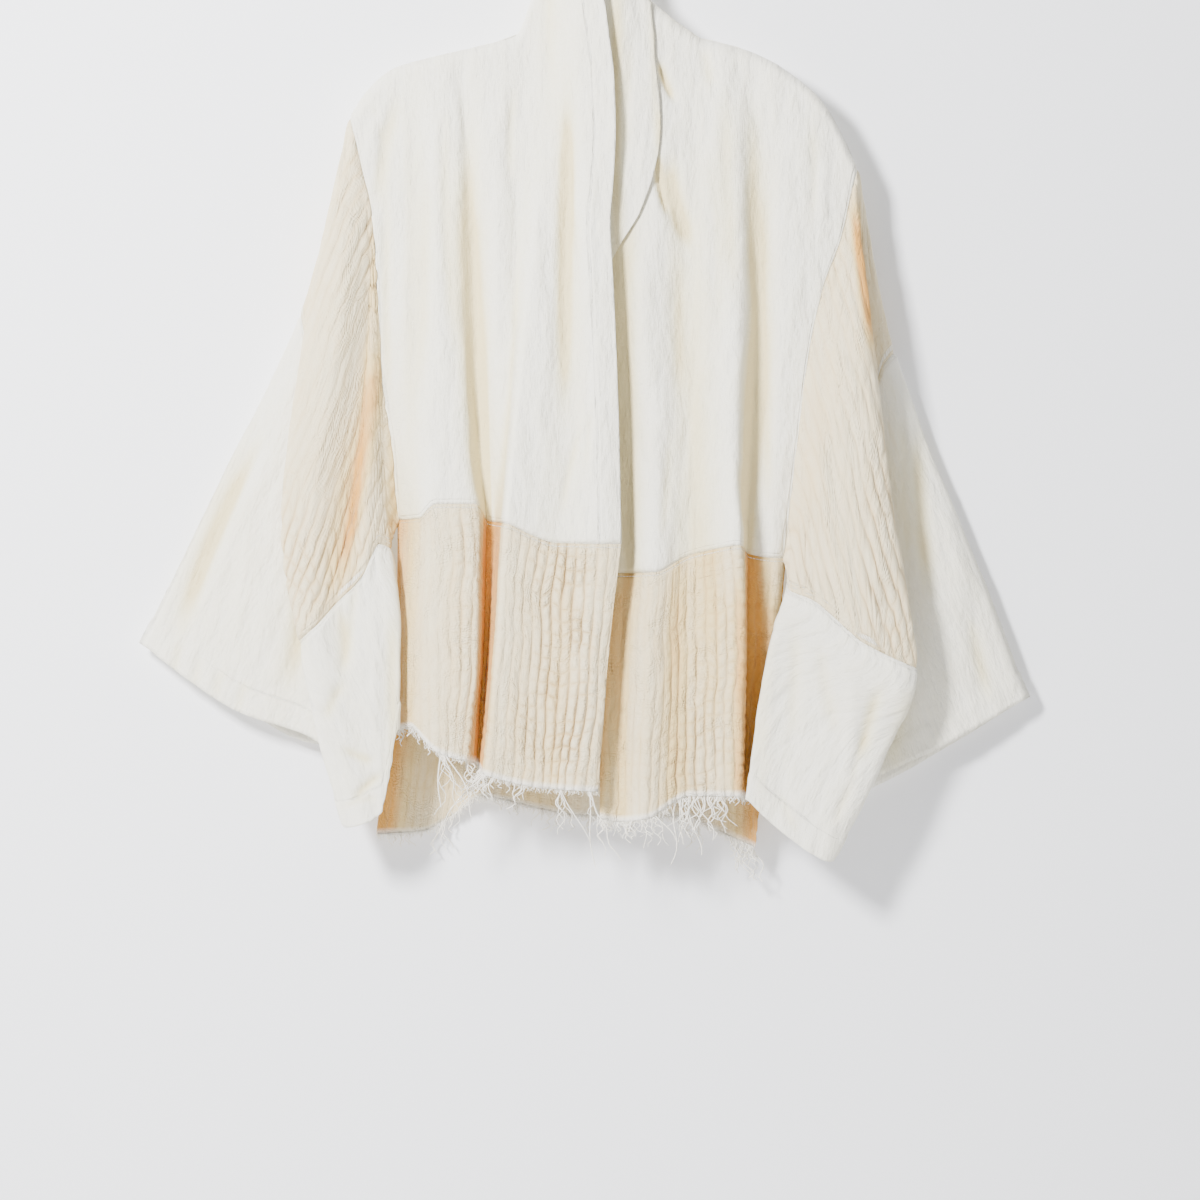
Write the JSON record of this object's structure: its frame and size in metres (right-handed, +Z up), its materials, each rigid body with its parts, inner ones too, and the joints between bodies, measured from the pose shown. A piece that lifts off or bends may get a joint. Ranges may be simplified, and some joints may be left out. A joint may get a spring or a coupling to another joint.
{
  "type": "kimono jacket on a hanger",
  "caption": "Open kimono-style jacket of light gauze with crinkled bands, wide cuffed sleeves and a frayed hem, hanging on a plain wooden hanger.",
  "frame": {"origin": "the point inside the top of the hook's bend where it bears on its rod", "axes": "+Z up, -Y towards the jacket's front, +X to the right of a viewer who faces the front"},
  "size_m": [0.8055, 0.0923, 0.8759],
  "materials": {
    "white_gauze": "soft off-white double gauze",
    "cream_crinkle_gauze": "thin cream gauze crinkled in lengthwise ribs",
    "hanger_wood": "plain satin wood",
    "hook_steel": "plain steel wire"
  },
  "bodies": {
    "root": {"over_front_panel": "white_gauze", "over_front_band": "cream_crinkle_gauze", "under_front_panel": "white_gauze", "under_front_band": "cream_crinkle_gauze", "back_panel": "white_gauze", "back_band": "cream_crinkle_gauze", "collar": "white_gauze", "under_lapel": "white_gauze", "left_sleeve_upper": "cream_crinkle_gauze", "left_sleeve_lower": "white_gauze", "right_sleeve_upper": "cream_crinkle_gauze", "right_sleeve_lower": "white_gauze", "over_fringe": "cream_crinkle_gauze", "under_fringe": "cream_crinkle_gauze", "back_fringe": "cream_crinkle_gauze", "hanger_bar": "hanger_wood", "hanger_hook": "hook_steel"}
  },
  "joints": []
}
